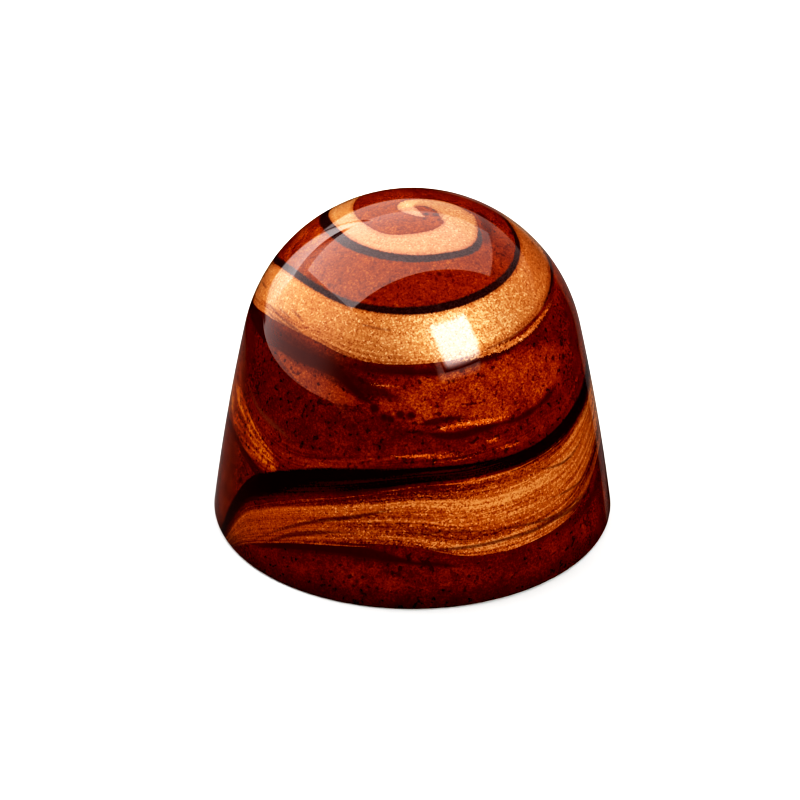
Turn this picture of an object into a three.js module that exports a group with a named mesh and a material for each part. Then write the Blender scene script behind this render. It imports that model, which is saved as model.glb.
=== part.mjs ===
// A moulded chocolate bonbon with a hazelnut toffee filling, in millimetres, +Z up.
//
// The shell is cast in a round mould, so the outside is one surface of revolution: a part-spherical
// crown, and below it a gently bowed skirt that flares out to the foot. The underside is the flat
// chocolate seal that was scraped level with the mould, and its rim keeps a small soft edge.
// The bonbon is shut, so it is one solid. The origin is at the middle of the underside.

import * as THREE from "three";

// Driving dimensions
const BASE_DIAMETER = 28;
const HEIGHT = 23.6;
const CROWN_RADIUS = 11.9;
const SKIRT_DRAFT = THREE.MathUtils.degToRad(12); // the skirt's lean from upright where it leaves the crown
const FOOT_EDGE_RADIUS = 0.3;

// How finely the round surfaces are divided
const SEGMENTS_AROUND = 96;
const CROWN_STEPS = 22;
const SKIRT_STEPS = 6;
const FOOT_STEPS = 3;

const SHELL_COLOUR = 0x7a1c08;
const SHELL_ROUGHNESS = 0.12;

const baseRadius = BASE_DIAMETER / 2;
const crownCentreHeight = HEIGHT - CROWN_RADIUS;

// The skirt starts where the crown's own slope equals the draft.
const shoulder = new THREE.Vector2(
  CROWN_RADIUS * Math.cos(SKIRT_DRAFT),
  crownCentreHeight + CROWN_RADIUS * Math.sin(SKIRT_DRAFT),
);

// The skirt as a quadratic curve from just above the foot up to the shoulder. It meets the crown
// along the draft, and its middle control point is half-way up, so its lean changes evenly.
function skirtCurve() {
  const middleHeight = (FOOT_EDGE_RADIUS + shoulder.y) / 2;
  const middle = new THREE.Vector2(
    shoulder.x + (shoulder.y - middleHeight) * Math.tan(SKIRT_DRAFT),
    middleHeight,
  );
  const foot = new THREE.Vector2(baseRadius, FOOT_EDGE_RADIUS);
  return new THREE.QuadraticBezierCurve(foot, middle, shoulder);
}

// The soft edge of the foot: a quarter round from the underside up to the skirt.
function footEdgeCurve() {
  return new THREE.EllipseCurve(
    baseRadius - FOOT_EDGE_RADIUS,
    FOOT_EDGE_RADIUS,
    FOOT_EDGE_RADIUS,
    FOOT_EDGE_RADIUS,
    -Math.PI / 2,
    0,
    false,
  );
}

// The crown from the shoulder up to the axis.
function crownCurve() {
  return new THREE.EllipseCurve(
    0,
    crownCentreHeight,
    CROWN_RADIUS,
    CROWN_RADIUS,
    SKIRT_DRAFT,
    Math.PI / 2,
    false,
  );
}

// The half section, from the middle of the underside out to the foot and up to the top.
function halfSection() {
  const points = [
    new THREE.Vector2(0, 0),
    ...footEdgeCurve().getPoints(FOOT_STEPS),
    ...skirtCurve().getPoints(SKIRT_STEPS).slice(1),
    ...crownCurve().getPoints(CROWN_STEPS).slice(1),
  ];
  points[points.length - 1].x = 0;
  return points;
}

function makeBonbon() {
  const geometry = new THREE.LatheGeometry(halfSection(), SEGMENTS_AROUND);
  geometry.rotateX(Math.PI / 2); // a lathe turns about +Y, and the bonbon stands along +Z
  const material = new THREE.MeshStandardMaterial({
    color: SHELL_COLOUR,
    roughness: SHELL_ROUGHNESS,
    metalness: 0,
  });
  const mesh = new THREE.Mesh(geometry, material);
  mesh.name = "bonbon";
  return mesh;
}

const part = new THREE.Group();
part.add(makeBonbon());

export default part;
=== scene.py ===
"""A moulded chocolate bonbon with a hazelnut toffee filling, dressed for a studio picture.

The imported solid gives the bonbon's size. Here it gets its fine surface: a glossy shell cast in a
polished round mould, the swirl of copper-gold, near-black and deep red cocoa butter that was brushed
into the mould first, and the scraped seal underneath. Lengths in the pattern are millimetres; the
meshes are metres, +Z up, with the origin in the middle of the underside and -Y towards the viewer.
"""

from math import cos, pi, radians, sin, tan

import bpy
import numpy as np
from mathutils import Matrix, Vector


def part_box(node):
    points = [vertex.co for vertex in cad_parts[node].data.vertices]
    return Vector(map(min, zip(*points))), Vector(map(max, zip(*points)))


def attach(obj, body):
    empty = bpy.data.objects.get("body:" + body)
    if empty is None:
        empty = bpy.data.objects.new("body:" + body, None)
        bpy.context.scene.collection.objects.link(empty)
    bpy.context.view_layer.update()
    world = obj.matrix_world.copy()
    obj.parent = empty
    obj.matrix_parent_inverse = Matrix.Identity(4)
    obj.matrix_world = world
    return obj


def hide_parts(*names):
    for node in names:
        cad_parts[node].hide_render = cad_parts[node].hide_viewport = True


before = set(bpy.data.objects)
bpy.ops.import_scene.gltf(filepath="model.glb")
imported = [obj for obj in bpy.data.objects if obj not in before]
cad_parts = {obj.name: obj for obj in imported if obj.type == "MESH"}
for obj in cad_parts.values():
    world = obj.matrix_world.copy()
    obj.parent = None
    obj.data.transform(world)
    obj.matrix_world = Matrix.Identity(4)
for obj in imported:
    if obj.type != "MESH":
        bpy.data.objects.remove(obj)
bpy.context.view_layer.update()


# ---------------------------------------------------------------- The camera
# A long lens a good hand's length away looks down on the bonbon from the front. Its aim is a little
# left of and below the bonbon's middle, which puts the bonbon a little right of and above the
# picture's middle.

MM = 0.001  # a millimetre in metres
CAMERA_ELEVATION = radians(30)
CAMERA_DISTANCE = 300 * MM
PICTURE_WIDTH = 55.69 * MM  # what the picture takes in across, at the bonbon
AIM = np.array([-0.87, -0.68, 8.82]) * MM
SENSOR_WIDTH = 36.0  # the lens is given for a sensor of this many mm
NEAREST_SEEN = 10 * MM
FARTHEST_SEEN = 20000 * MM


def add_camera():
    """The camera stands back from its aim along the line of sight. Its focal length is the sensor's
    width times the distance, over the width that the picture takes in."""
    data = bpy.data.cameras.new("camera")
    data.sensor_width = SENSOR_WIDTH
    data.lens = SENSOR_WIDTH * CAMERA_DISTANCE / PICTURE_WIDTH
    data.clip_start = NEAREST_SEEN
    data.clip_end = FARTHEST_SEEN
    camera = bpy.data.objects.new("camera", data)
    back = np.array([0, -cos(CAMERA_ELEVATION), sin(CAMERA_ELEVATION)])
    camera.location = AIM + CAMERA_DISTANCE * back
    camera.rotation_euler = (pi / 2 - CAMERA_ELEVATION, 0, 0)
    bpy.context.scene.collection.objects.link(camera)
    bpy.context.scene.camera = camera


add_camera()


# ---------------------------------------------------------------- The cast form
# The shell takes the form of its mould: a part-spherical crown, a gently bowed skirt and a small
# soft edge round the foot. It is one closed surface of revolution, with rings close enough together
# to carry the brushed pattern, and its underside is the seal that was scraped level with the mould.

low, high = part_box("bonbon")
HEIGHT = high.z / MM
FOOT_RADIUS = (high.x - low.x) / 2 / MM
CROWN_RADIUS = 11.9
SKIRT_DRAFT = radians(12)
FOOT_EDGE = 0.3
SHOULDER_RADIUS = CROWN_RADIUS * cos(SKIRT_DRAFT)
SHOULDER_HEIGHT = HEIGHT - CROWN_RADIUS * (1 - sin(SKIRT_DRAFT))
SHOULDER_AT = CROWN_RADIUS * (pi / 2 - SKIRT_DRAFT)  # along the surface from the top
SKIRT_LENGTH = 14.07
FOOT_AT = SHOULDER_AT + SKIRT_LENGTH
DISH_DEPTH = 0.22
RIDGE_HEIGHT = 0.05
RIDGES_WITHIN = 5 / 6  # the share of the foot's radius where the ridges have their full height

AROUND = 384  # points in a ring
SIDE_RINGS = 226
EDGE_RINGS = 5
SEAL_RINGS = 22


def side_section(along):
    """Radius and height of the outside at a distance along its surface from the top: a circle's arc
    as far as the shoulder, then a quadratic curve whose middle point is half-way down."""
    turned = np.minimum(along, SHOULDER_AT) / CROWN_RADIUS
    crown_radius = CROWN_RADIUS * np.sin(turned)
    crown_height = HEIGHT - CROWN_RADIUS * (1 - np.cos(turned))
    down = np.clip((along - SHOULDER_AT) / SKIRT_LENGTH, 0, 1)
    drop = SHOULDER_HEIGHT - FOOT_EDGE
    middle_radius = SHOULDER_RADIUS + drop / 2 * tan(SKIRT_DRAFT)
    skirt_radius = (
        (1 - down) ** 2 * SHOULDER_RADIUS
        + 2 * down * (1 - down) * middle_radius
        + down**2 * FOOT_RADIUS
    )
    on_crown = along < SHOULDER_AT
    radius = np.where(on_crown, crown_radius, skirt_radius)
    height = np.where(on_crown, crown_height, SHOULDER_HEIGHT - drop * down)
    return radius, height


def ramp(at, start, end):
    """0 before start, 1 past end and rising evenly between them, whichever of them is greater."""
    return np.clip((at - start) / (end - start), 0, 1)


def scraped_depth(x, y):
    """How deep the seal lies inside its rim: a shallow dish, and on it the low parallel ridges that
    the scraper left, a sum of sines across its path that wander slowly along it."""
    reach = np.clip(np.hypot(x, y) / (FOOT_RADIUS - FOOT_EDGE), 0, 1)
    dish = DISH_DEPTH * (1 - reach**4) ** 2
    wander = 0.6 * np.sin(0.31 * x + 1.0) + 0.35 * np.sin(0.83 * x + 0.4)
    across = y + wander
    ridges = (
        0.5 * np.sin(1.9 * across)
        + 0.3 * np.sin(4.3 * across + 1.1 * np.sin(0.5 * x))
        + 0.2 * np.sin(9.7 * across + 0.7)
    )
    return dish + RIDGE_HEIGHT * (1 + ridges) * ramp(reach, 1, RIDGES_WITHIN)


def bonbon_points():
    """The rings' points from the top, down the side, round the foot's edge and in over the seal to
    its middle, as arrays (ring, place round), and for each ring its distance from the top."""
    side = np.linspace(0, FOOT_AT, SIDE_RINGS + 1)[1:]
    radius, height = side_section(side)
    bend = np.linspace(0, pi / 2, EDGE_RINGS + 1)[1:]
    edge_radius = FOOT_RADIUS - FOOT_EDGE * (1 - np.cos(bend))
    edge_height = FOOT_EDGE * (1 - np.sin(bend))
    edge_along = FOOT_AT + FOOT_EDGE * bend
    seal_radius = np.linspace(FOOT_RADIUS - FOOT_EDGE, 0, SEAL_RINGS + 1)[1:-1]
    seal_along = edge_along[-1] + FOOT_RADIUS - FOOT_EDGE - seal_radius
    along = np.concatenate([side, edge_along, seal_along])
    radius = np.concatenate([radius, edge_radius, seal_radius])
    height = np.concatenate([height, edge_height, 0 * seal_radius])
    turn = np.linspace(-pi, pi, AROUND, endpoint=False)
    x = radius[:, None] * np.sin(turn)
    y = -radius[:, None] * np.cos(turn)
    z = np.repeat(height[:, None], AROUND, axis=1)
    first_seal = SIDE_RINGS + EDGE_RINGS
    z[first_seal:] += scraped_depth(x[first_seal:], y[first_seal:])
    return x, y, z, along, turn


def bonbon_faces(rings):
    """Quads between neighbouring rings and a fan at each pole, all facing out. Point 0 is the top
    and the last point is the middle of the seal."""
    here = np.arange(AROUND)
    after = (here + 1) % AROUND
    ring = np.arange(rings - 1)[:, None]
    upper = 1 + ring * AROUND
    quads = np.stack(
        [upper + here, upper + AROUND + here, upper + AROUND + after, upper + after], axis=-1
    ).reshape(-1, 4)
    last_ring = 1 + (rings - 1) * AROUND
    middle = 1 + rings * AROUND
    top_fan = np.stack([np.zeros(AROUND, int), 1 + here, 1 + after], axis=-1)
    seal_fan = np.stack([np.full(AROUND, middle), last_ring + after, last_ring + here], axis=-1)
    return quads, top_fan, seal_fan


def add_bonbon():
    """The closed mesh, smooth all over, with the seal's faces in its second material slot, and the
    distances of its rings from the top and the turns of the points in them."""
    x, y, z, along, turn = bonbon_points()
    rings = len(along)
    top = [[0, 0, HEIGHT]]
    seal_middle = [[0, 0, float(scraped_depth(np.zeros(1), np.zeros(1))[0])]]
    points = np.concatenate([top, np.stack([x, y, z], axis=-1).reshape(-1, 3), seal_middle]) * MM
    quads, top_fan, seal_fan = bonbon_faces(rings)
    mesh = bpy.data.meshes.new("bonbon_shell")
    mesh.from_pydata(points.tolist(), [], top_fan.tolist() + quads.tolist() + seal_fan.tolist())
    mesh.polygons.foreach_set("use_smooth", np.ones(len(mesh.polygons), bool))
    first_seal_face = AROUND * (SIDE_RINGS + EDGE_RINGS)
    slot = (np.arange(len(mesh.polygons)) >= first_seal_face).astype(np.int32)
    mesh.polygons.foreach_set("material_index", slot)
    piece = bpy.data.objects.new("bonbon_shell", mesh)
    bpy.context.scene.collection.objects.link(piece)
    return piece, along, turn


bonbon, ring_along, ring_turn = add_bonbon()


# ---------------------------------------------------------------- The brushed swirl
# One broad stroke of copper-gold starts in a hook at the top and winds down and outwards round the
# shell for more than two turns, until it runs off the foot at the front left. A near-black line was
# brushed along it on both sides, and thinner strokes and drips were dragged in between.
# A place on the stroke is its turn in degrees, 0 at the front on the first time round, growing
# towards the left. A place on the shell is (degrees round from the front, positive to the right;
# distance from the top along the surface).

INNER_EDGE = [
    (-90, 1.65), (-70, 2.1), (-50, 2.7), (-30, 2.95), (0, 3.15), (30, 3.5), (60, 3.57), (90, 3.95),
    (121, 4.78), (150, 6.0), (180, 6.75), (210, 7.1), (260, 7.4), (280, 8.0), (320, 8.95),
    (350, 9.45), (390, 9.5), (415, 9.4), (430, 9.65), (445, 10.3), (460, 11.4), (490, 13.2),
    (520, 15.3), (550, 17.2), (580, 18.6), (610, 19.2), (630, 19.4), (650, 20.1), (665, 20.85),
    (680, 21.25), (700, 21.45), (720, 21.5), (740, 22.5), (760, 24.1), (770, 25.3), (780, 27.0),
    (788, 30), (796, 34),
]
OUTER_EDGE = [
    (-95, 4.2), (-70, 4.85), (-55, 5.32), (-20, 5.2), (55, 5.15), (75, 5.3), (90, 5.65), (112, 6.6),
    (130, 7.6), (150, 8.5), (180, 9.5), (210, 10.2), (240, 10.6), (270, 10.9), (310, 12.0),
    (350, 12.85), (380, 12.9), (400, 12.4), (430, 12.9), (450, 14.0), (470, 15.1), (490, 16.5),
    (520, 19.2), (550, 21.6), (580, 23.3), (610, 24.3), (640, 24.4), (665, 26.3), (685, 26.75),
    (705, 26.7), (720, 25.8), (740, 26.0), (760, 27.2), (780, 29.6), (796, 33),
]
# How far above the gold the dark line starts, and how thick it is
LINE_ABOVE = [
    (225, 0), (260, 0.3), (300, 0.4), (345, 0.5), (390, 0.35), (445, 0.45), (480, 0.5), (520, 0.7),
    (580, 1.1), (630, 1.3), (650, 1.05), (665, 1.15), (680, 1.1), (700, 1.3), (720, 1.4),
    (740, 1.9), (760, 2.2), (800, 2.4),
]
LINE_THICKNESS = [
    (225, -0.3), (250, 0.2), (300, 0.4), (345, 0.5), (390, 0.4), (445, 0.45), (480, 0.5),
    (520, 0.8), (580, 1.2), (630, 1.3), (655, 1.1), (668, 0.9), (681, 0.7), (692, 0.5), (704, 0.45),
    (714, 0.6), (724, 0.9), (736, 1.0), (748, 1.0), (760, 1.4), (772, 1.6), (800, 1.7),
]
# How sharply the line's lower edge ends, from 1, crisp, to a slow fade
LINE_CRISP = [
    (450, 1), (520, 0.6), (640, 0.25), (690, 0.3), (715, 0.22), (745, 0.2), (765, 0.3), (800, 0.4),
]
# How thick the dark line just below the gold is
LINE_BELOW = [
    (-110, -0.3), (-90, -0.2), (-75, 0.05), (-62, 0.38), (-30, 0.5), (20, 0.55), (60, 0.65),
    (90, 0.75), (150, 0.55), (240, 0.4), (280, 0.2), (300, -0.1), (310, -0.5),
]
# How much of the way from the line's upper edge down to the gold a thin brown veil covers
VEIL_REACH = [(450, 1), (630, 0.8), (660, 0.75), (690, 0.65), (705, 0.7), (730, 1), (760, 0.9)]
# How frayed the gold's two edges are: 0 is crisp, and from 1 on the brush tore them open
FRAY_INNER = [(-90, 0.05), (200, 0.05), (450, 0.1), (520, 0.5), (640, 0.9), (760, 0.7)]
FRAY_OUTER = [
    (-90, 0.05), (120, 0.1), (260, 0.4), (340, 0.45), (395, 0.65), (450, 0.7), (640, 1.2),
    (710, 1.2), (760, 0.7),
]
# How pale the gold is as the stroke runs on, how strongly the brush combed it, how much its grains
# sparkle, and its hue: from -1, a milky rose, through 0, yellow, to 1, copper over thin dark paint
GOLD_TONE = [
    (-90, 0.53), (-70, 0.57), (-50, 0.64), (-30, 0.66), (60, 0.63), (90, 0.69), (120, 0.75),
    (160, 0.74), (200, 0.66), (260, 0.55), (280, 0.6), (300, 0.69), (325, 0.78), (350, 0.82),
    (380, 0.66), (405, 0.6), (430, 0.67), (450, 0.67), (500, 0.56), (600, 0.6), (640, 0.62),
    (662, 0.71), (685, 0.74), (705, 0.68), (725, 0.6), (745, 0.59), (760, 0.56), (780, 0.46),
]
GOLD_COMBED = [
    (-90, 0.1), (200, 0.15), (450, 0.25), (600, 0.8), (745, 0.75), (765, 0.4), (780, 0.35),
]
GOLD_GRAIN = [
    (-90, 0.42), (200, 0.42), (260, 0.55), (300, 0.6), (340, 0.7), (380, 0.6), (420, 0.5),
    (600, 0.6), (655, 0.6), (690, 0.85), (735, 0.85), (765, 0.45),
]
GOLD_HUE = [
    (-90, -0.1), (-70, -0.2), (-45, -0.9), (-10, -1), (60, -0.9), (100, -0.1), (130, 0.2),
    (200, 0.2), (250, 0.3), (280, 0.5), (310, 0.3), (335, 0), (380, 0), (400, 0.2), (430, 0.4),
    (460, 0.3), (600, 1),
]

# The hook that the stroke starts with: (to the right, to the front, half width) seen from above
HOOK = [
    (0.86, 1.28, 0.02), (0.6, 1.16, 0.14), (0.3, 0.93, 0.3), (-0.05, 0.6, 0.44), (-0.4, 0.15, 0.6),
    (-0.35, -0.35, 0.66), (0.15, -0.66, 0.58), (0.9, -0.78, 0.62), (1.7, -0.62, 0.82),
    (2.4, -0.25, 1.02), (2.85, 0.25, 1.2), (3.15, 0.8, 1.3),
]

# Strokes dragged in between: (degrees round, distance from the top, half width)
DARK_SMEARS = [
    [(-100, 14.0, 0.5), (-85, 14.0, 0.55), (-74, 14.0, 0.5), (-64, 14.05, 0.45), (-54, 13.95, 0.42),
     (-43, 13.85, 0.44), (-34, 13.85, 0.42), (-27, 14.1, 0.4), (-22, 14.7, 0.32), (-17, 15.4, 0.2),
     (-12, 15.9, 0.02)],
    [(-8, 13.5, 0.02), (0, 13.55, 0.1), (8, 13.6, 0.14), (22, 13.2, 0.2), (36, 12.9, 0.2),
     (50, 12.6, 0.1), (66, 12.1, 0.02)],
    [(2, 17.0, 0.02), (5, 16.95, 0.2), (9, 16.8, 0.24), (13, 16.8, 0.16), (18, 16.85, 0.02)],
    [(4, 17.6, 0.02), (8, 17.85, 0.2), (14, 18.0, 0.24), (22, 17.85, 0.2), (29, 17.8, 0.08),
     (37, 17.85, 0.14), (41, 17.75, 0.22), (45, 17.6, 0.1), (50, 17.35, 0.2), (55, 17.0, 0.03)],
    [(-95, 23.1, 0.35), (-80, 22.65, 0.35), (-70, 22.65, 0.25), (-60, 23.1, 0.3), (-48, 23.9, 0.6)],
    [(66, 26.5, 0.02), (74, 25.7, 0.15), (85, 24.8, 0.3), (110, 25.0, 0.4), (140, 24.6, 0.3),
     (165, 23.4, 0.1)],
    [(-58, 29.0, 0.02), (-50, 28.55, 0.12), (-40, 27.55, 0.2), (-30, 26.9, 0.25), (-20, 26.5, 0.35),
     (-8, 26.6, 0.3), (0, 27.0, 0.12), (8, 27.2, 0.12), (14, 27.5, 0.02)],
]
BROWN_VEILS = [
    [(-100, 13.9, 1.1), (-80, 13.6, 1.0), (-65, 13.5, 0.7), (-45, 13.45, 0.6), (-28, 13.9, 0.6),
     (-20, 14.5, 0.7), (-12, 14.9, 0.5), (-4, 15.3, 0.1)],
    [(56, 5.6, 0.02), (64, 5.6, 0.3), (72, 5.5, 0.45), (84, 5.2, 0.5), (100, 4.8, 0.4)],
    [(-30, 13.5, 0.2), (-10, 13.4, 0.3), (10, 13.4, 0.35), (30, 13.0, 0.3), (50, 12.6, 0.25),
     (70, 11.9, 0.25), (90, 10.8, 0.2)],
    [(-60, 28.3, 0.1), (-40, 27.6, 0.3), (-20, 26.8, 0.3), (0, 27.0, 0.1), (30, 27.0, -0.1),
     (45, 27.0, 0.15), (60, 27.0, 0.3), (75, 26.2, 0.5), (100, 25.5, 0.7)],
]
# A tongue of lighter ground that lies under the end of the first smear
PALE_TONGUE = [
    (-54, 14.4, 0.3), (-46, 14.95, 0.4), (-38, 15.25, 0.65), (-32, 15.3, 0.75), (-26, 15.6, 0.6),
    (-21, 15.75, 0.4), (-17, 15.8, 0.1), (-14, 15.8, 0.01),
]
# A thin grey stroke that comes down from the left
GREY_STROKE = [
    (-80, 16.6, 0.02), (-73, 17.6, 0.1), (-67, 18.4, 0.14), (-61, 18.95, 0.18),
    (-55.5, 19.25, 0.22), (-50, 19.4, 0.22), (-46, 19.55, 0.18), (-41, 19.95, 0.02),
]
GOLD_WISPS = [
    [(14, 12.9, 0.02), (30, 12.75, 0.2), (45, 12.6, 0.18), (60, 12.15, 0.14), (74, 11.8, 0.02)],
    [(7, 17.5, 0.02), (11, 17.4, 0.16), (16, 17.3, 0.2), (22, 17.32, 0.18), (28, 17.4, 0.12),
     (33, 17.4, 0.01)],
    [(-15, 14.4, 0.01), (-10, 14.45, 0.05), (-5, 14.5, 0.01)],
    [(-8, 19.3, 0.01), (2, 19.3, 0.1), (12, 19.35, 0.1), (16, 19.3, 0.01)],
    [(6, 19.75, 0.01), (12, 19.75, 0.08), (18, 19.6, 0.1), (24, 19.4, 0.01)],
    [(23, 18.8, 0.01), (26, 18.82, 0.12), (29, 18.85, 0.01)],
    [(27, 19.5, 0.01), (31, 19.5, 0.12), (36, 19.55, 0.01)],
    [(10, 21.4, 0.01), (18, 21.3, 0.09), (24, 21.3, 0.01)],
    [(6, 21.75, 0.01), (16, 21.7, 0.09), (32, 21.75, 0.06), (40, 21.8, 0.01)],
]
RED_THREADS = [
    [(28, 12.5, 0.01), (42, 12.25, 0.07), (56, 11.95, 0.08), (74, 11.4, 0.02)],
    [(-52, 28.2, 0.02), (-40, 26.2, 0.12), (-28, 24.75, 0.13), (-18, 24.0, 0.14), (-6, 23.1, 0.02)],
    [(-51, 28.7, 0.02), (-39, 26.7, 0.14), (-30, 25.8, 0.14), (-23, 25.35, 0.06), (-16, 25.1, 0.01)],
    [(-52, 26.1, 0.01), (-47, 25.2, 0.06), (-39, 24.4, 0.05), (-30, 23.65, 0.01)],
    [(-6, 24.85, 0.01), (4, 24.85, 0.07), (13, 24.85, 0.06), (23, 25.25, 0.04), (30, 25.4, 0.06),
     (39, 25.7, 0.08), (47, 25.9, 0.08), (55, 25.85, 0.06), (66, 25.8, 0.01)],
    [(-4, 25.9, 0.02), (10, 26.1, 0.07), (20, 26.15, 0.08), (30, 26.15, 0.08), (38, 26.2, 0.1),
     (46, 26.1, 0.12), (56, 26.2, 0.14), (68, 25.9, 0.05)],
    [(39, 21.7, 0.01), (48, 22.35, 0.05), (56, 22.5, 0.06), (64, 22.1, 0.04), (72, 21.2, 0.01)],
    [(46, 24.5, 0.01), (54, 24.7, 0.06), (62, 24.75, 0.06), (70, 24.3, 0.04), (80, 23.4, 0.01)],
    [(-92, 12.5, 0.02), (-86, 12.2, 0.05), (-82, 11.95, 0.02)],
    [(-72, 12.35, 0.02), (-62, 12.3, 0.06), (-50, 12.35, 0.05), (-40, 12.75, 0.02)],
    [(-70, 12.75, 0.02), (-58, 12.6, 0.07), (-46, 12.6, 0.08), (-36, 12.85, 0.02)],
    [(-57, 11.4, 0.01), (-52.5, 11.5, 0.06), (-48, 11.7, 0.01)],
    [(-66, 11.9, 0.01), (-60, 11.9, 0.05), (-53, 12.0, 0.01)],
    [(-22, 10.55, 0.01), (-16, 10.65, 0.04), (-9, 10.7, 0.01)],
]

# Where the brush dragged gold out over the red ground: a broad veil of orange streaks at the left
# with one brighter feather in it, and a fainter stretch that runs on to the right
ORANGE_DRAG = [
    (-120, 20.0, 2.2), (-100, 20.9, 2.1), (-85, 21.3, 2.0), (-75, 21.2, 1.9), (-66, 21.3, 1.8),
    (-58, 21.8, 1.6), (-53, 22.2, 1.3), (-49, 22.5, 1.0), (-44, 22.9, 0.4),
]
FAINT_DRAG = [
    (-75, 19.6, 0.5), (-60, 19.9, 1.0), (-45, 20.9, 1.1), (-30, 20.7, 1.0), (-10, 19.9, 0.7),
    (10, 19.6, 0.6), (35, 19.3, 0.7), (55, 18.8, 0.4), (75, 17.6, 0.4), (95, 15.5, 0.4),
]
FAINT_SHARE = 0.4
FEATHER = [
    (-80, 19.3, 0.02), (-70, 20.2, 0.4), (-62, 20.7, 0.85), (-56, 21.2, 1.0), (-51, 21.7, 0.85),
    (-47, 22.15, 0.5), (-43.5, 22.45, 0.02),
]
# A line that the brushing follows between the second and the third time round
FLOW_GUIDE = [
    (-100, 16.5), (-80, 18.5), (-66, 19.9), (-56, 20.95), (-48, 21.5), (-40, 21.6), (-30, 21.2),
    (-15, 20.4), (0, 19.9), (20, 19.7), (40, 19.2), (60, 18.3), (80, 16.5), (100, 14.8),
]
GUIDE_LEVEL = 19.0  # between the levels of the gold's edges above and below it
LEAST_GAP = 0.05  # between two lines that the brushing follows
PATTERN_END = 34  # just past the foot
# Patches full of orange flecks, pearl in the red ground; towards the front right they are also a
# painted highlight of the key light: (degrees round, distance from the top, half size of each,
# strength)
FLECK_AND_HIGHLIGHT_PATCHES = [
    (26, 15.3, 38, 2.3, 0.9), (20, 18.6, 40, 1.5, 0.2), (-24, 18.6, 25, 1.5, 0.2),
    (0, 28.2, 34, 1.2, 0.35), (55, 28.2, 25, 1.0, 0.3), (150, 14.5, 40, 2.5, 0.7),
    (-150, 26.0, 40, 2.0, 0.5), (-95, 8.0, 25, 2.0, 0.35), (-84, 19.5, 12, 2.5, 0.5),
]

# Bubbles and specks: (degrees round, distance from the top, radius)
DARK_SPOTS = [
    (-22.8, 16.2, 0.15), (-12.8, 16.05, 0.3), (-9.4, 16.6, 0.24), (-7.4, 16.7, 0.24),
    (-4.2, 16.35, 0.27), (-0.6, 16.4, 0.24), (-19.4, 17.45, 0.13), (-7.6, 15.4, 0.1),
    (2.6, 17.65, 0.16), (-25.6, 17.35, 0.1), (45, 1.3, 0.2), (60, 1.8, 0.24), (28, 1.7, 0.12),
    (80, 1.5, 0.13), (50, 2.3, 0.1), (36, 16.7, 0.14), (63, 15.5, 0.22), (66, 14.4, 0.16),
    (76, 13.5, 0.22), (45, 15.5, 0.1), (-5, 27.1, 0.1), (-16.5, 27.4, 0.12), (-4, 27.9, 0.2),
    (-16, 28.7, 0.14), (9.5, 27.3, 0.18), (25, 14.2, 0.1), (14, 14.2, 0.1), (-45, 8.65, 0.1),
    (-19, 8.7, 0.12), (16, 6.75, 0.14), (150, 15.0, 0.2), (130, 13.5, 0.16), (170, 26.0, 0.2),
    (-150, 25.5, 0.18), (-120, 27.0, 0.15),
]

FAR_OUTSIDE = -9.0  # mm, where a stroke doesn't reach
END_FALL = 0.15  # mm of its half width that a stroke loses for each degree past its ends
HOOK_DISCS = 160
HOOK_REACH = 6  # the hook lies nearer to the top than this
FIRST_TURNS = (0, 360, 720)  # the gold's turn at the front, each time round
STROKE_START = -95
START_RISE = 0.1  # mm of its half width that the gold gains for each degree past its start
COMBED_DEPTH = 1.3  # how far in from a frayed edge the brush combed the gold
PATCH_FULL, PATCH_END = 0.65, 1.35  # a patch of flecks thins out between these shares of its size
# The ground is warmer round the top, fully out to the first of two distances and no more from the
# second on. On the right it is less so, with the full share taken off from the second angle on.
TOP_FULL, TOP_END = 11.5, 13
DIMMER_FROM, DIMMEST_FROM = 45, 65
DIMMED_SHARE = 0.4
# Between these two distances a painted shade darkens the shell towards the foot, for the dimmer light
# low down
FOOT_SHADE_START, FOOT_SHADE_FULL = 28.9, 30.3


def through(knots, at):
    """A smooth curve through (place, value) knots: a cubic between neighbours that leaves each knot
    along the chord of the knots beside it, and is level beyond the ends."""
    place, value = np.array(knots, float).T
    slope = np.gradient(value, place)
    at = np.clip(at, place[0], place[-1])
    left = np.clip(np.searchsorted(place, at, side="right") - 1, 0, len(place) - 2)
    step = place[left + 1] - place[left]
    u = (at - place[left]) / step
    return (
        value[left] * (1 + 2 * u) * (1 - u) ** 2
        + value[left + 1] * (3 - 2 * u) * u**2
        + step * u * (1 - u) * (slope[left] * (1 - u) - slope[left + 1] * u)
    )


def inside_stroke(knots, round_, along):
    """How far inside a dragged stroke each place is, in mm: its half width less the distance from
    its middle line, measured down the shell. It falls away steadily past the stroke's two ends."""
    places = [k[0] for k in knots]
    middle = through([k[:2] for k in knots], round_)
    half = through([(k[0], k[2]) for k in knots], round_)
    past = np.maximum(np.maximum(places[0] - round_, round_ - places[-1]), 0)
    return half - np.abs(along - middle) - END_FALL * past


def inside_any(strokes, round_, along):
    """How far inside the nearest of several dragged strokes each place is."""
    return np.max([inside_stroke(s, round_, along) for s in strokes], axis=0)


def inside_hook(right, front):
    """How far inside the hook each place seen from above is: the most that any disc of its row of
    discs reaches past the place."""
    at = np.linspace(0, len(HOOK) - 1, HOOK_DISCS)
    number = np.arange(len(HOOK))
    x, y, half = (through(list(zip(number, column)), at) for column in zip(*HOOK))
    gap = np.hypot(right[..., None] - x, front[..., None] - y)
    return np.max(half - gap, axis=-1)


def inside_spots(round_, along):
    """How far inside a round speck each place is: its radius less the distance from its middle."""
    inside = np.full(round_.shape, FAR_OUTSIDE)
    for where, depth, size in DARK_SPOTS:
        sideways = np.radians(round_ - where) * side_section(along)[0]
        inside = np.maximum(inside, size - np.hypot(sideways, along - depth))
    return inside


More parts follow.
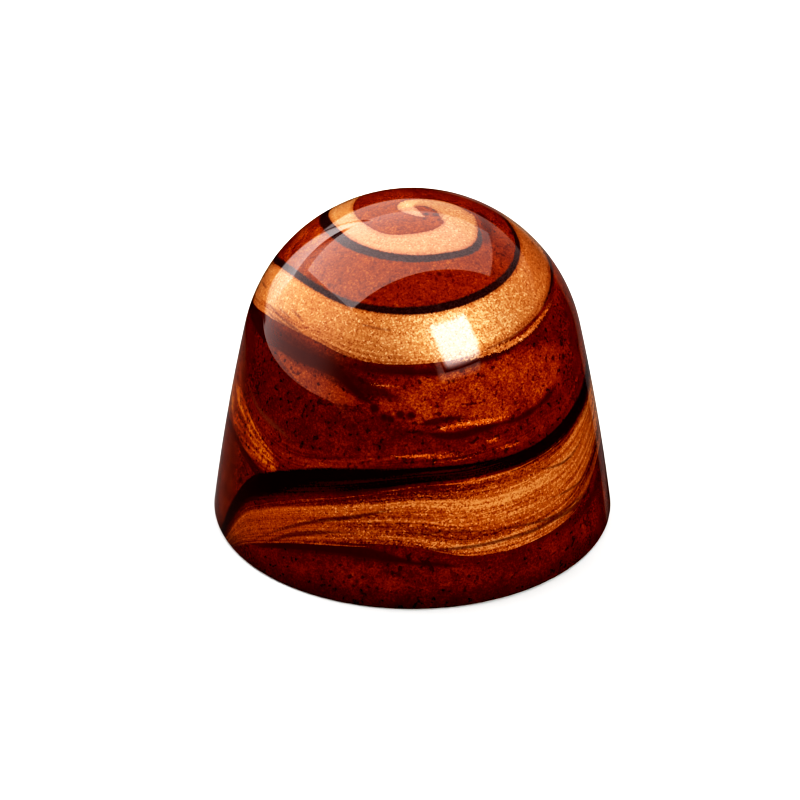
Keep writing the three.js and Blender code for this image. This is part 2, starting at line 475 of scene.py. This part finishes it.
def fleck_and_highlight_share(round_, along):
    """How thick the orange flecks lie: pearl in the paint, and towards the front right also a painted
    highlight of the key light. Soft elliptical patches, the strongest one at each place.
    """
    share = np.zeros(round_.shape)
    for where, depth, half_turn, half_depth, strength in FLECK_AND_HIGHLIGHT_PATCHES:
        away = np.hypot((round_ - where) / half_turn, (along - depth) / half_depth)
        share = np.maximum(share, strength * ramp(away, PATCH_END, PATCH_FULL))
    return share


def flow_level(along, borders, levels):
    """A coordinate across the brushing: it takes a set level on each border line of the pattern,
    and grows evenly from one border to the next."""
    flow = np.full(along.shape, float(levels[-1]))
    for upper, lower, start, end in zip(borders, borders[1:], levels, levels[1:]):
        share = (along - upper) / np.maximum(lower - upper, LEAST_GAP)
        here = (along >= upper) & (along < lower)
        flow = np.where(here, start + share * (end - start), flow)
    return flow


def brushed_flow(round_, along, first_turn, guide=None):
    """The flow level with borders at the gold's edges on three times round, the first of which has
    first_turn at the front, and at the guide line above the last of them."""
    borders = [0 * along]
    levels = [0]
    for turn in np.add(FIRST_TURNS, first_turn):
        for edge in (INNER_EDGE, OUTER_EDGE):
            if guide and turn == FIRST_TURNS[-1] and edge is INNER_EDGE:
                borders.append(np.maximum(through(guide, round_), borders[-1] + LEAST_GAP))
                levels.append(GUIDE_LEVEL)
            borders.append(np.maximum(through(edge, turn - round_), borders[-1] + LEAST_GAP))
            levels.append(float(through(edge, turn)))
    return flow_level(along, borders + [0 * along + PATTERN_END], levels + [PATTERN_END])


def dark_lines(turn, along, inner, outer):
    """How far inside the near-black lines on both sides of the gold each place is, and how far
    inside the thin brown veil between the upper line and the gold: the lesser of the distances from
    the upper and the lower edge."""
    top = inner - through(LINE_ABOVE, turn)
    left_over = top + through(LINE_THICKNESS, turn) - along
    above = np.minimum(along - top, left_over * through(LINE_CRISP, turn))
    above = np.where(turn < LINE_ABOVE[0][0], FAR_OUTSIDE, above)
    below = np.minimum(along - outer, outer + through(LINE_BELOW, turn) - along)
    past_ends = (turn < LINE_BELOW[0][0]) | (turn > LINE_BELOW[-1][0])
    below = np.where(past_ends, FAR_OUTSIDE, below)
    veil_foot = top + (inner - top) * through(VEIL_REACH, turn)
    veil = np.minimum(along - top, veil_foot - along)
    veil = np.where(turn < VEIL_REACH[0][0], FAR_OUTSIDE, veil)
    return np.maximum(above, below), veil


def swirl_fields(round_, along):
    """Everything that the paint needs to know about each place, as arrays of one number a place:
    gold, line, veil: how far inside the gold, the near-black and the thin brown paint it is, in mm;
    wisp, tongue, grey, thread, smear, spot, feather: the same for thin gold strokes, the pale
    tongue, the grey stroke, dark red threads in the gold, soft dark strokes, bubbles and the bright
    feather; drag: the same for orange streaks, with only a share of it for the faint ones;
    tone, combed, grainy, hue, fray: how pale, combed and sparkling the gold is, its hue, and how
    frayed its nearest edge;
    ember, top, foot: how thick the orange flecks lie, partly pearl in the paint and
    partly a painted highlight of the key light, how much warmer the ground is round the top, and how
    deep the painted shade towards the foot is;
    flow_front, flow_back: how far across the brushing it is, as the front and the back have it."""
    gold = np.full(along.shape, FAR_OUTSIDE)
    line = np.full(along.shape, FAR_OUTSIDE)
    veil = inside_any(BROWN_VEILS, round_, along)
    traits = {name: np.zeros(along.shape) for name in ("fray", "tone", "combed", "grainy", "hue")}
    for first in FIRST_TURNS:
        turn = first - round_
        inner = through(INNER_EDGE, turn)
        outer = through(OUTER_EDGE, turn)
        started = (turn - STROKE_START) * START_RISE
        here = np.minimum(np.minimum(along - inner, outer - along), started)
        from_inner = along - inner < outer - along
        frayed = np.where(from_inner, through(FRAY_INNER, turn), through(FRAY_OUTER, turn))
        at_edge = frayed * ramp(here, COMBED_DEPTH, 0)
        traits_here = {
            "fray": frayed,
            "tone": through(GOLD_TONE, turn),
            "combed": np.maximum(through(GOLD_COMBED, turn), at_edge),
            "grainy": through(GOLD_GRAIN, turn),
            "hue": through(GOLD_HUE, turn),
        }
        for name, trait in traits_here.items():
            traits[name] = np.where(here > gold, trait, traits[name])
        gold = np.maximum(gold, here)
        line_here, veil_here = dark_lines(turn, along, inner, outer)
        line = np.maximum(line, line_here)
        veil = np.maximum(veil, veil_here)
    right = along * np.sin(np.radians(round_))
    front = along * np.cos(np.radians(round_))
    near_top = along < HOOK_REACH
    hook = np.full(along.shape, FAR_OUTSIDE)
    hook[near_top] = inside_hook(right[near_top], front[near_top])
    faint = inside_stroke(FAINT_DRAG, round_, along) * FAINT_SHARE
    dimmed = DIMMED_SHARE * ramp(round_, DIMMER_FROM, DIMMEST_FROM)
    return {
        **traits,
        "gold": np.maximum(gold, hook),
        "line": line,
        "veil": veil,
        "wisp": inside_any(GOLD_WISPS, round_, along),
        "tongue": inside_stroke(PALE_TONGUE, round_, along),
        "grey": inside_stroke(GREY_STROKE, round_, along),
        "thread": inside_any(RED_THREADS, round_, along),
        "smear": inside_any(DARK_SMEARS, round_, along),
        "spot": inside_spots(round_, along),
        "feather": inside_stroke(FEATHER, round_, along),
        "drag": np.maximum(inside_stroke(ORANGE_DRAG, round_, along), faint),
        "ember": fleck_and_highlight_share(round_, along),
        "top": ramp(along, TOP_END, TOP_FULL) * (1 - dimmed),
        "foot": ramp(along, FOOT_SHADE_START, FOOT_SHADE_FULL),
        "flow_front": brushed_flow(round_, along, FIRST_TURNS[0], FLOW_GUIDE),
        "flow_back": brushed_flow(np.mod(round_, 360), along, FIRST_TURNS[1]),
    }


def paint_on(piece, along, turn):
    """Puts the swirl's fields on the mesh, a number for each point, the two poles included."""
    depth, round_ = np.meshgrid(along, np.degrees(turn), indexing="ij")
    depth = np.concatenate([[0.0], depth.ravel(), along[-1:]])
    round_ = np.concatenate([[0.0], round_.ravel(), [0.0]])
    for name, field in swirl_fields(round_, depth).items():
        attribute = piece.data.attributes.new(name, "FLOAT", "POINT")
        attribute.data.foreach_set("value", field.astype(np.float32))


paint_on(bonbon, ring_along, ring_turn)


# ---------------------------------------------------------------- The cocoa butter paint
# Three coloured cocoa butters lie under the same polished surface: a deep red ground full of fine
# mottling and bubbles, a near-black brown for the lines, and a copper-gold with pearl pigment, whose
# grains sparkle and whose edges fray along the brush. The mould gives them one sharp gloss.

# The ground from its deepest brown-red to its brightest orange fleck
GROUND_STOPS = [
    (0.0, (0.014, 0.0012, 0.0005, 1)),
    (0.3, (0.055, 0.005, 0.001, 1)),
    (0.5, (0.105, 0.013, 0.002, 1)),
    (0.7, (0.21, 0.036, 0.004, 1)),
    (1.0, (0.42, 0.16, 0.02, 1)),
]
# The gold from a thin film over the red, through copper, to its palest grains, and the same where
# its hue is all copper
GOLD_STOPS = [
    (0.0, (0.09, 0.008, 0.001, 1)),
    (0.25, (0.20, 0.04, 0.004, 1)),
    (0.5, (0.33, 0.125, 0.036, 1)),
    (0.75, (0.49, 0.235, 0.1, 1)),
    (1.0, (0.68, 0.45, 0.27, 1)),
]
COPPER_STOPS = [
    (0.0, (0.08, 0.006, 0.001, 1)),
    (0.25, (0.19, 0.03, 0.002, 1)),
    (0.5, (0.37, 0.098, 0.011, 1)),
    (0.75, (0.52, 0.185, 0.042, 1)),
    (1.0, (0.72, 0.37, 0.16, 1)),
]
MILKY_ROSE = (0.36, 0.135, 0.13, 1)
LINE_DARK = (0.024, 0.006, 0.005, 1)
LINE_GREY = (0.06, 0.028, 0.027, 1)
SMEAR_BROWN = (0.056, 0.006, 0.003, 1)
VEIL_BROWN = (0.055, 0.004, 0.001, 1)
THREAD_RED = (0.085, 0.009, 0.002, 1)
STROKE_GREY = (0.14, 0.055, 0.04, 1)
FOOT_SHADE = (0.012, 0.001, 0.0005, 1)
PEARL_RELIEF = 0.04 * MM


class Paint:
    """A value on its way through a material: an output socket whose arithmetic adds Math nodes."""

    def __init__(self, tree, socket=None):
        self.tree = tree
        self.socket = socket

    def node(self, kind, settings, sockets, out=0):
        """Adds a node with its settings, then its sockets' values or links, and gives one output."""
        node = self.tree.nodes.new(kind)
        for name, value in settings.items():
            if name == "stops":
                set_stops(node.color_ramp, value)
            else:
                setattr(node, name, value)
        for name, value in sockets.items():
            if isinstance(value, Paint):
                self.tree.links.new(value.socket, node.inputs[name])
            else:
                node.inputs[name].default_value = value
        return Paint(self.tree, node.outputs[out])

    def math(self, operation, first, second=0.0):
        """One step of arithmetic on two values, of which either may be a plain number."""
        return self.node("ShaderNodeMath", {"operation": operation}, {0: first, 1: second})

    def __add__(self, other):
        return self.math("ADD", self, other)

    def __sub__(self, other):
        return self.math("SUBTRACT", self, other)

    def __mul__(self, other):
        return self.math("MULTIPLY", self, other)

    def __rsub__(self, other):
        return self.math("SUBTRACT", other, self)

    __radd__ = __add__
    __rmul__ = __mul__

    def over(self, start, end):
        """0 before start, 1 past end and a smooth step between them, whichever of them is greater."""
        return self.node(
            "ShaderNodeMapRange",
            {"interpolation_type": "SMOOTHSTEP"},
            {"Value": self, "From Min": start, "From Max": end},
        )

    def mix(self, first, second):
        """The colour first where this is 0 and second where it is 1."""
        sockets = {0: self, 6: first, 7: second}
        return self.node("ShaderNodeMix", {"data_type": "RGBA"}, sockets, out=2)

    def blend(self, first, second):
        """The number first where this is 0 and second where it is 1."""
        return self.node("ShaderNodeMix", {"data_type": "FLOAT"}, {0: self, 2: first, 3: second})

    def field(self, name):
        """One of the numbers that the mesh carries."""
        return self.node("ShaderNodeAttribute", {"attribute_name": name}, {}, out="Fac")


def set_stops(colours, stops):
    """Gives a colour ramp its (position, colour) stops, from first to last."""
    while len(colours.elements) < len(stops):
        colours.elements.new(1.0)
    for element, (position, colour) in zip(colours.elements, stops):
        element.position = position
        element.color = colour


def new_material(name):
    """A material with its Principled shader and an empty Paint to start its maths from."""
    material = bpy.data.materials.new(name)
    material.use_nodes = True
    tree = material.node_tree
    return material, tree.nodes["Principled BSDF"], Paint(tree)


def set_shader(paint, shader, values):
    """Sets or links the shader's sockets."""
    for name, value in values.items():
        if isinstance(value, Paint):
            paint.tree.links.new(value.socket, shader.inputs[name])
        else:
            shader.inputs[name].default_value = value


MEAN_RADIUS = 12  # of the shell, in mm
SIDES_WITHIN = 3.0  # the front's brushing becomes the back's within this of the widest place
BACK_OFFSET = 31.0  # so that the back's noise doesn't repeat the front's


def mm_place(paint):
    """The place on the piece in mm."""
    coordinates = paint.node("ShaderNodeTexCoord", {}, {}, out="Object")
    sockets = {0: coordinates, "Scale": 1 / MM}
    return paint.node("ShaderNodeVectorMath", {"operation": "SCALE"}, sockets)


def brush_streaks(paint, place, across, along, detail):
    """Noise drawn out along the brushing: across and along are its changes per mm. It is read on a
    round wall, at the place's direction from the axis and its flow level. The front and the back
    each follow their own flow field, and one fades into the other at the sides."""
    level = paint.node("ShaderNodeVectorMath", {"operation": "MULTIPLY"}, {0: place, 1: (1, 1, 0)})
    ray = paint.node("ShaderNodeVectorMath", {"operation": "NORMALIZE"}, {0: level})
    sockets = {0: ray, "Scale": MEAN_RADIUS * along}
    wall = paint.node("ShaderNodeVectorMath", {"operation": "SCALE"}, sockets)
    sides = []
    for name, offset in (("flow_front", 0.0), ("flow_back", BACK_OFFSET)):
        drop = paint.node("ShaderNodeCombineXYZ", {}, {"Z": paint.field(name) * across + offset})
        where = paint.node("ShaderNodeVectorMath", {"operation": "ADD"}, {0: wall, 1: drop})
        sockets = {"Vector": where, "Scale": 1.0, "Detail": detail, "Roughness": 0.6}
        sides.append(paint.node("ShaderNodeTexNoise", {}, sockets))
    back = paint.node("ShaderNodeSeparateXYZ", {}, {0: place}, out="Y")
    return back.over(-SIDES_WITHIN, SIDES_WITHIN).blend(sides[0], sides[1])


def shell_paint():
    """The ground, the gold and the dark paint laid over each other, each with an edge that the
    noise of its grains and of the brush's streaks breaks up, under one smooth polished coat."""
    material, shader, paint = new_material("painted_chocolate")
    place = mm_place(paint)

    def noise(scale, detail=2.0, roughness=0.5):
        sockets = {"Vector": place, "Scale": scale, "Detail": detail, "Roughness": roughness}
        return paint.node("ShaderNodeTexNoise", {}, sockets)

    broad_streaks = brush_streaks(paint, place, 1.4, 0.05, 3.0)
    fine_streaks = brush_streaks(paint, place, 6.0, 0.12, 3.0)
    streaks = broad_streaks * 0.6 + fine_streaks * 0.4 - 0.5
    grain = noise(8.5, 2.0, 0.6)
    speckle = noise(6.5, 3.0, 0.7)
    mottle = noise(0.9, 5.0, 0.65)
    cells = paint.node("ShaderNodeTexVoronoi", {}, {"Vector": place, "Scale": 10.0}, out="Color")
    flake = paint.node("ShaderNodeSeparateColor", {}, {0: cells})

    # The ground
    # Orange flecks in the ground: pearl in the paint, and towards the front right a painted highlight
    # of the key light as well
    ember = (paint.field("ember") + (mottle - 0.5) * 0.9).over(0.1, 1.0)
    drag = paint.field("drag").over(-0.3, 0.7)
    feather = (paint.field("feather") + streaks * 3.0).over(-0.4, 0.9)
    tongue = (paint.field("tongue") + (speckle - 0.5) * 0.3).over(-0.06, 0.14)
    dust = (flake - 0.5) * 0.45 + (grain - 0.5) * 0.55
    top = paint.field("top")
    pore = noise(2.4, 1.0).over(0.375, 0.32) * (0.24 - top * 0.16)
    heat = 0.51 + (mottle - 0.5) * 0.35 + ember * 0.21 + top * 0.14 + tongue * 0.14 - pore
    heat = heat + (speckle - 0.5) * 0.6 + dust * (ember * 0.28 + 0.22)
    drawn = (broad_streaks - 0.5) * 0.8 + (fine_streaks - 0.5) * 1.3
    heat = heat + drag * (0.15 + drawn * 0.8) + feather * (0.18 + drawn * 0.4 + dust * 0.6)
    ground = paint.node("ShaderNodeValToRGB", {"stops": GROUND_STOPS}, {0: heat})

    # The gold
    fray = paint.field("fray")
    combed = paint.field("combed")
    hue = paint.field("hue")
    late = hue.over(0.2, 1.0)
    gold = paint.field("gold") + streaks * fray * 2.8 + (grain - 0.5) * 0.2
    is_gold = gold.over(-0.04, 0.08)
    thick = (gold - fray * 0.2).over(-0.1, 0.45 + fray * 0.3)
    combing = (broad_streaks - 0.5) * 0.9 + (fine_streaks - 0.5) * 1.2
    tone = paint.field("tone") - (1 - thick) * 0.22 + combed * combing
    glint = flake.over(0.88, 0.96) * 0.18 - flake.over(0.12, 0.04) * 0.16
    tone = tone + (dust + (speckle - 0.5) * 0.3 + glint) * paint.field("grainy")
    pale = paint.node("ShaderNodeValToRGB", {"stops": GOLD_STOPS}, {0: tone})
    copper = paint.node("ShaderNodeValToRGB", {"stops": COPPER_STOPS}, {0: tone})
    gold_colour = hue.over(0.0, 1.0).mix(pale, copper)
    gold_colour = (hue.over(0.0, -1.0) * 0.27).mix(gold_colour, MILKY_ROSE)
    wisp = paint.field("wisp") + streaks * 0.3 + (grain - 0.5) * 0.6
    is_wisp = wisp.over(-0.04, 0.08)
    thread = (paint.field("thread") + streaks * 0.2).over(-0.1, 0.06)

    # The dark paint
    line = paint.field("line") + (grain - 0.5) * 0.3 + (speckle - 0.5) * 0.2
    is_line = (line + streaks * late * 0.9).over(-0.1, 0.04)
    smear = paint.field("smear") + streaks * 0.5 + (speckle - 0.5) * 0.5
    is_smear = smear.over(-0.08, 0.1)
    is_spot = (paint.field("spot") + (speckle - 0.5) * 0.3).over(-0.12, 0.1)
    is_grey = (paint.field("grey") + (speckle - 0.5) * 0.5 + (grain - 0.5) * 0.4).over(-0.15, 0.2)
    is_veil = (paint.field("veil") + streaks * 1.2).over(-0.3, 0.4)
    rim = gold.over(-0.2, -0.02)
    worn = ((grain * 0.6 + flake * 0.4).over(0.25, 0.8) * 0.8 + 0.2) * (1 - late * 0.95)
    line_colour = worn.mix(LINE_DARK, LINE_GREY)

    colour = (is_veil * 0.75).mix(ground, VEIL_BROWN)
    colour = (is_grey * 0.6).mix(colour, STROKE_GREY)
    colour = (rim * 0.3).mix(colour, SMEAR_BROWN)
    colour = (is_smear * 0.85).mix(colour, SMEAR_BROWN)
    colour = (is_spot * 0.9).mix(colour, SMEAR_BROWN)
    colour = (is_wisp * 0.9).mix(colour, gold_colour)
    colour = is_gold.mix(colour, gold_colour)
    colour = (is_gold * thread * 0.7).mix(colour, THREAD_RED)
    colour = is_line.mix(colour, line_colour)
    # Painted shade: the shell darkens towards its foot, where less light reaches it
    colour = (paint.field("foot") * 0.4).mix(colour, FOOT_SHADE)

    pearl = is_gold * (1 - is_line)
    sockets = {"Height": grain * pearl, "Strength": 0.35, "Distance": PEARL_RELIEF}
    bump = paint.node("ShaderNodeBump", {}, sockets)
    set_shader(
        paint,
        shader,
        {
            "Base Color": colour,
            "Metallic": pearl * 0.5,
            "Roughness": 0.55,
            "Specular IOR Level": 0.0,
            "Coat Weight": 1.0,
            "Coat Roughness": 0.03,
            "Coat IOR": 1.5,
            "Normal": bump,
        },
    )
    return material


bonbon.data.materials.append(shell_paint())


# ---------------------------------------------------------------- The scraped seal
# The underside is plain dark chocolate, poured over the filling and scraped level, so it is dull
# where the scraper dragged and glossier where the chocolate closed up behind it.

SEAL_DARK = (0.022, 0.0075, 0.004, 1)
SEAL_LIGHT = (0.05, 0.018, 0.009, 1)
SEAL_RELIEF = 0.06 * MM
SCRAPED = (0.12, 1, 1)  # draws noise out along the scraper's path


def seal_chocolate():
    """Noise drawn out along the scraper's path, and clouds in it, part the dull and the glossier
    chocolate. The drawn noise alone gives the relief."""
    material, shader, paint = new_material("seal_chocolate")
    place = mm_place(paint)
    drawn = paint.node("ShaderNodeVectorMath", {"operation": "MULTIPLY"}, {0: place, 1: SCRAPED})
    scrape = paint.node("ShaderNodeTexNoise", {}, {"Vector": drawn, "Scale": 2.5, "Detail": 5.0})
    cloud = paint.node("ShaderNodeTexNoise", {}, {"Vector": place, "Scale": 0.35, "Detail": 3.0})
    worn = (scrape * 0.6 + cloud * 0.4).over(0.4, 0.62)
    sockets = {"Height": scrape, "Strength": 0.4, "Distance": SEAL_RELIEF}
    bump = paint.node("ShaderNodeBump", {}, sockets)
    set_shader(
        paint,
        shader,
        {
            "Base Color": worn.mix(SEAL_DARK, SEAL_LIGHT),
            "Roughness": worn.blend(0.34, 0.55),
            "Normal": bump,
        },
    )
    return material


bonbon.data.materials.append(seal_chocolate())

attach(bonbon, "root")
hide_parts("bonbon")


# ---------------------------------------------------------------- The floor and the lights
# A pale floor, and glowing sheets round the bonbon: a square key with a faint rim at the front
# right, a tall panel at the left, a strip behind it, a flat scrim overhead, a wall behind and two
# dim low ones. The polished shell mirrors them. Three fills that it doesn't mirror lift its shade.

FLOOR_RADIUS = 3.0
FLOOR_CORNERS = 96
FLOOR_COLOUR = (0.74, 0.74, 0.73, 1)
# How far the sheets stand from the bonbon's axis, and how high the scrim lies, in metres
KEY_REACH = 0.5
KEY_RIM_REACH = 0.55
STRIP_REACH = 0.5
SIDE_REACH = 1.2
BACK_REACH = 1.0
LOW_WALL_REACH = 0.9
FILL_REACH = 1.5
SCRIM_HEIGHT = 0.5
PANEL_STEPS = 36
SHEET = np.meshgrid(*[np.linspace(0, 1, PANEL_STEPS + 1)] * 2, indexing="ij")
BLACK = (0, 0, 0, 1)
WHITE = (1, 1, 1, 1)

# What the film made of the light: deep shades crushed, highlights held back
FILM_CURVE = [(0.0, 0.0), (0.06, 0.006), (0.15, 0.05), (0.3, 0.2), (0.5, 0.47), (0.75, 0.8), (1.0, 1.0)]


def add_floor():
    """A flat round plate level with the bonbon's foot. The polished shell doesn't mirror it."""
    turn = np.linspace(0, 2 * pi, FLOOR_CORNERS, endpoint=False)
    rim = np.stack([np.cos(turn), np.sin(turn), 0 * turn], axis=-1) * FLOOR_RADIUS
    mesh = bpy.data.meshes.new("floor")
    mesh.from_pydata(rim.tolist(), [], [list(range(len(rim)))])
    floor = bpy.data.objects.new("floor", mesh)
    bpy.context.scene.collection.objects.link(floor)
    material, shader, paint = new_material("floor")
    set_shader(paint, shader, {"Base Color": FLOOR_COLOUR, "Roughness": 0.9})
    mesh.materials.append(material)
    floor.visible_glossy = False


def spread(corners):
    """The values at a sheet's four corners, from its lower left on round, spread evenly over its
    grid of points: each corner's weight is the product of the shares of the way from the other
    two sides."""
    u, v = SHEET
    weights = np.stack([(1 - u) * (1 - v), u * (1 - v), u * v, (1 - u) * v], axis=-1)
    return weights @ np.array(corners, float)


def curved(reach, corners):
    """A sheet bent round the bonbon at a level distance reach, between four corners (degrees round
    from the front, degrees up)."""
    turn, up = np.moveaxis(np.radians(spread(corners)), -1, 0)
    return np.stack([reach * np.sin(turn), -reach * np.cos(turn), reach * np.tan(up)], axis=-1)


def add_panel(name, points, brightness, shares=(1, 1, 1, 1), soft=(0, 0, 0, 0), mirrored=True):
    """A glowing sheet through a grid of points. It has a share of its brightness at each corner,
    and fades over a share of its width or height at its left, right, lower and upper edges. One
    that isn't mirrored only lifts the shade."""
    corner = np.arange(PANEL_STEPS)[:, None] * (PANEL_STEPS + 1) + np.arange(PANEL_STEPS)
    quads = np.stack(
        [corner, corner + PANEL_STEPS + 1, corner + PANEL_STEPS + 2, corner + 1], axis=-1
    ).reshape(-1, 4)
    mesh = bpy.data.meshes.new(name)
    mesh.from_pydata(points.reshape(-1, 3).tolist(), [], quads.tolist())
    u, v = SHEET
    glow = spread(shares)
    for inward, width in zip((u, 1 - u, v, 1 - v), soft):
        if width:
            risen = ramp(inward, 0, width)
            glow = glow * risen**2 * (3 - 2 * risen)
    glow = glow.ravel().astype(np.float32)
    mesh.attributes.new("glow", "FLOAT", "POINT").data.foreach_set("value", glow)
    panel = bpy.data.objects.new(name, mesh)
    bpy.context.scene.collection.objects.link(panel)
    material, shader, paint = new_material(name)
    set_shader(
        paint,
        shader,
        {
            "Base Color": BLACK,
            "Specular IOR Level": 0.0,
            "Emission Color": paint.field("glow").mix(BLACK, WHITE),
            "Emission Strength": brightness,
        },
    )
    mesh.materials.append(material)
    panel.visible_camera = False
    panel.visible_glossy = mirrored


def add_world():
    """White behind everything the camera sees, and no light from there on the bonbon."""
    world = bpy.data.worlds.new("studio")
    world.use_nodes = True
    bpy.context.scene.world = world
    tree = world.node_tree
    paint = Paint(tree)
    seen = paint.node("ShaderNodeLightPath", {}, {}, out="Is Camera Ray")
    dark = tree.nodes["Background"]
    dark.inputs["Color"].default_value = BLACK
    bright = tree.nodes.new("ShaderNodeBackground")
    bright.inputs["Color"].default_value = WHITE
    either = tree.nodes.new("ShaderNodeMixShader")
    tree.links.new(seen.socket, either.inputs["Fac"])
    tree.links.new(dark.outputs[0], either.inputs[1])
    tree.links.new(bright.outputs[0], either.inputs[2])
    tree.links.new(either.outputs[0], tree.nodes["World Output"].inputs["Surface"])


def set_film():
    """A plain display transform, with the film curve before it. The curve for all three colours
    together is the fourth, and has its two ends already."""
    view = bpy.context.scene.view_settings
    view.view_transform = "Standard"
    view.use_curve_mapping = True
    curve = view.curve_mapping.curves[3]
    for place, value in FILM_CURVE[1:-1]:
        curve.points.new(place, value)
    view.curve_mapping.update()


add_floor()
add_panel(
    "key_panel",
    curved(KEY_REACH, [(22, 20), (51, 21), (58, 52), (13, 53)]),
    13.0,
    soft=(0.16, 0.12, 0.22, 0.12),
)
add_panel(
    "key_rim",
    curved(KEY_RIM_REACH, [(17, 12), (48, 13), (62, 55), (8, 56)]),
    2.2,
    soft=(0.1, 0.1, 0.12, 0.08),
)
add_panel(
    "left_panel",
    curved(SIDE_REACH, [(-131, -6), (-31, -8), (-33, 49), (-156, 44)]),
    3.0,
    shares=(0.8, 0.5, 0.5, 0.97),
    soft=(0.1, 0.42, 0, 0),
)
add_panel(
    "strip",
    curved(STRIP_REACH, [(-142, -4), (-124, -4), (-127, 16.5), (-161, 36.5)]),
    5.0,
    shares=(0.25, 0.3, 1, 0.95),
    soft=(0.14, 0, 0.1, 0),
)
add_panel(
    "scrim",
    spread(
        [
            (-0.415, -0.185, SCRIM_HEIGHT),
            (0.465, 0.145, SCRIM_HEIGHT),
            (0.49, 0.80, SCRIM_HEIGHT),
            (-0.85, 0.606, SCRIM_HEIGHT),
        ]
    ),
    5.0,
    shares=(1, 0.52, 0.46, 1),
)
add_panel(
    "back_wall",
    curved(BACK_REACH, [(107, 14), (208, 14), (208, 38), (107, 47)]),
    3.0,
    shares=(0.06, 0.65, 0.95, 0.08),
    soft=(0, 0, 0.08, 0),
)
add_panel(
    "low_left_wall",
    curved(LOW_WALL_REACH, [(-184, -36), (-80, -36), (-84, -14.1), (-184, -26.4)]),
    0.32,
    shares=(1.25, 0.3, 0.3, 0.6),
    soft=(0, 0.3, 0, 0.02),
)
add_panel(
    "back_right_wall",
    curved(LOW_WALL_REACH, [(145, -30), (178, -30), (178, -6), (145, -6)]),
    0.25,
    soft=(0.1, 0.1, 0.1, 0.1),
)
add_panel(
    "right_fill",
    curved(FILL_REACH, [(92, -2), (165, -2), (165, 40), (92, 40)]),
    4.9,
    mirrored=False,
)
add_panel(
    "left_fill",
    curved(FILL_REACH, [(-170, -2), (-112, -2), (-112, 30), (-170, 30)]),
    7.0,
    mirrored=False,
)
add_panel(
    "front_fill",
    curved(FILL_REACH, [(-75, 2), (40, 2), (40, 34), (-75, 34)]),
    1.4,
    mirrored=False,
)
add_world()
set_film()
